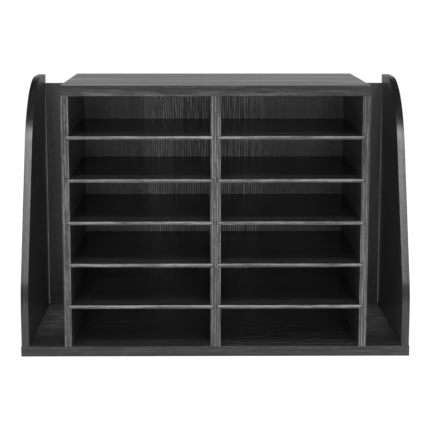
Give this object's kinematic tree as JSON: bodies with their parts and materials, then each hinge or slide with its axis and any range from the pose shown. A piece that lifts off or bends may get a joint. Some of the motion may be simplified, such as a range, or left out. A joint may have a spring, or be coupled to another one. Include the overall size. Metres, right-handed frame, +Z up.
{
  "type": "literature organizer",
  "caption": "Desktop literature organizer: a black woodgrain board case with open compartments on removable sliding shelves, between curved wings that form open side bays.",
  "frame": {"origin": "middle of the underside of the base", "axes": "+X across to the right seen from the front, +Y from the open front to the back, +Z up"},
  "size_m": [0.625, 0.3, 0.435],
  "materials": {
    "black_woodgrain_board": "black woodgrain laminate on particle board, satin",
    "black_shelf_board": "black laminate on thin fibre board, satin",
    "black_edge_strip": "black woodgrain edge strip, satin",
    "screw_steel": "zinc plated",
    "bolt_steel": "zinc plated",
    "cam_zinc": "die-cast zinc",
    "beech_dowel": "plain fluted beech"
  },
  "bodies": {
    "cabinet": {"base_panel": "black_woodgrain_board", "top_panel": "black_woodgrain_board", "left_side_panel": "black_woodgrain_board", "right_side_panel": "black_woodgrain_board", "centre_divider": "black_woodgrain_board", "back_panel": "black_woodgrain_board", "left_wing_panel": "black_woodgrain_board", "right_wing_panel": "black_woodgrain_board", "base_front_edging": "black_edge_strip", "base_rear_edging": "black_edge_strip", "base_left_edging": "black_edge_strip", "base_right_edging": "black_edge_strip", "top_front_edging": "black_edge_strip", "top_rear_edging": "black_edge_strip", "top_left_edging": "black_edge_strip", "top_right_edging": "black_edge_strip", "left_side_edging": "black_edge_strip", "right_side_edging": "black_edge_strip", "divider_edging": "black_edge_strip", "back_edging": "black_edge_strip", "left_wing_edging": "black_edge_strip", "right_wing_edging": "black_edge_strip", "base_screws": "screw_steel", "back_screws": "screw_steel", "base_dowels": "beech_dowel", "top_dowels": "beech_dowel", "wing_dowels": "beech_dowel", "top_cam_bolts": "bolt_steel", "wing_cam_bolts": "bolt_steel", "top_cam_locks": "cam_zinc", "wing_cam_locks": "cam_zinc"},
    "left_shelf_1_board": {"left_shelf_1": "black_shelf_board", "left_shelf_1_edging": "black_edge_strip"},
    "left_shelf_2_board": {"left_shelf_2": "black_shelf_board", "left_shelf_2_edging": "black_edge_strip"},
    "left_shelf_3_board": {"left_shelf_3": "black_shelf_board", "left_shelf_3_edging": "black_edge_strip"},
    "left_shelf_4_board": {"left_shelf_4": "black_shelf_board", "left_shelf_4_edging": "black_edge_strip"},
    "left_shelf_5_board": {"left_shelf_5": "black_shelf_board", "left_shelf_5_edging": "black_edge_strip"},
    "right_shelf_1_board": {"right_shelf_1": "black_shelf_board", "right_shelf_1_edging": "black_edge_strip"},
    "right_shelf_2_board": {"right_shelf_2": "black_shelf_board", "right_shelf_2_edging": "black_edge_strip"},
    "right_shelf_3_board": {"right_shelf_3": "black_shelf_board", "right_shelf_3_edging": "black_edge_strip"},
    "right_shelf_4_board": {"right_shelf_4": "black_shelf_board", "right_shelf_4_edging": "black_edge_strip"},
    "right_shelf_5_board": {"right_shelf_5": "black_shelf_board", "right_shelf_5_edging": "black_edge_strip"}
  },
  "joints": [
    {"name": "left_shelf_1_slide", "type": "slide", "parent": "cabinet", "child": "left_shelf_1_board", "axis": [0, -1, 0], "range_m": [0, 0.3]},
    {"name": "left_shelf_2_slide", "type": "slide", "parent": "cabinet", "child": "left_shelf_2_board", "axis": [0, -1, 0], "range_m": [0, 0.3]},
    {"name": "left_shelf_3_slide", "type": "slide", "parent": "cabinet", "child": "left_shelf_3_board", "axis": [0, -1, 0], "range_m": [0, 0.3]},
    {"name": "left_shelf_4_slide", "type": "slide", "parent": "cabinet", "child": "left_shelf_4_board", "axis": [0, -1, 0], "range_m": [0, 0.3]},
    {"name": "left_shelf_5_slide", "type": "slide", "parent": "cabinet", "child": "left_shelf_5_board", "axis": [0, -1, 0], "range_m": [0, 0.3]},
    {"name": "right_shelf_1_slide", "type": "slide", "parent": "cabinet", "child": "right_shelf_1_board", "axis": [0, -1, 0], "range_m": [0, 0.3]},
    {"name": "right_shelf_2_slide", "type": "slide", "parent": "cabinet", "child": "right_shelf_2_board", "axis": [0, -1, 0], "range_m": [0, 0.3]},
    {"name": "right_shelf_3_slide", "type": "slide", "parent": "cabinet", "child": "right_shelf_3_board", "axis": [0, -1, 0], "range_m": [0, 0.3]},
    {"name": "right_shelf_4_slide", "type": "slide", "parent": "cabinet", "child": "right_shelf_4_board", "axis": [0, -1, 0], "range_m": [0, 0.3]},
    {"name": "right_shelf_5_slide", "type": "slide", "parent": "cabinet", "child": "right_shelf_5_board", "axis": [0, -1, 0], "range_m": [0, 0.3]}
  ]
}
